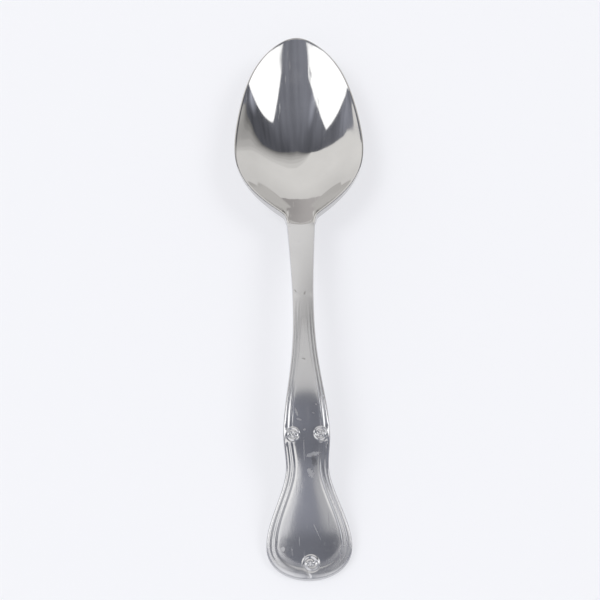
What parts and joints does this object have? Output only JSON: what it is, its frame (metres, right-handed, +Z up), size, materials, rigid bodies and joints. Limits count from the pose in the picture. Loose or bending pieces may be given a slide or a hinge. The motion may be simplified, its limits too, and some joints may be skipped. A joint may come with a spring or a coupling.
{
  "type": "teaspoon",
  "caption": "Stainless steel teaspoon with an egg-shaped polished bowl, an arched shank and a fiddle-shaped end with thread border and scrolls.",
  "frame": {"origin": "centre of the spoon's outline on the table, below the middle of its length", "axes": "+Y along the spoon to the tip of the bowl, +X across it, +Z up out of the bowl's hollow"},
  "size_m": [0.0336, 0.15, 0.0138],
  "materials": {
    "polished_steel": "mirror polish with light wear",
    "satin_steel": "satin with fine lengthwise scratches"
  },
  "bodies": {
    "root": {"bowl": "polished_steel", "handle": "satin_steel"}
  },
  "joints": []
}
